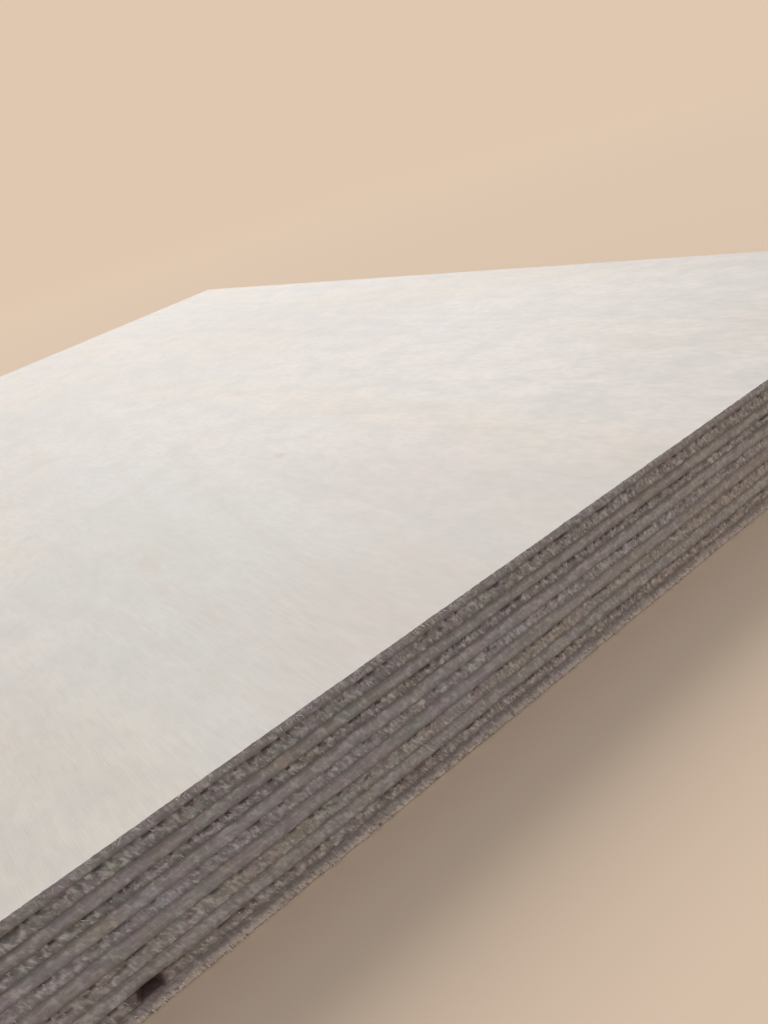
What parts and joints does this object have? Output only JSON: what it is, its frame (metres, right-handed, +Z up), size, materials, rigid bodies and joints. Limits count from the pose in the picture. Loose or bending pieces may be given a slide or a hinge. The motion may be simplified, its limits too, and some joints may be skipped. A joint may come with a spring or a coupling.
{
  "type": "plywood sheet",
  "caption": "Small flat rectangular sheet of birch plywood with pale faces and square sawn edges that show the crossed veneers, a building material for panels, shelves and boxes.",
  "frame": {"origin": "middle of the underside", "axes": "+X along the long sides, +Y along the grain of the faces, +Z up out of the upper face"},
  "size_m": [0.5, 0.25, 0.015],
  "materials": {
    "birch_face": "matte",
    "birch_cross": "matte",
    "birch_long": "matte"
  },
  "bodies": {
    "root": {"ply_01_face_veneer": "birch_face", "ply_02_crossband": "birch_cross", "ply_03_longband": "birch_long", "ply_04_crossband": "birch_cross", "ply_05_longband": "birch_long", "ply_06_centre": "birch_cross", "ply_07_longband": "birch_long", "ply_08_crossband": "birch_cross", "ply_09_longband": "birch_long", "ply_10_crossband": "birch_cross", "ply_11_back_veneer": "birch_face"}
  },
  "joints": []
}
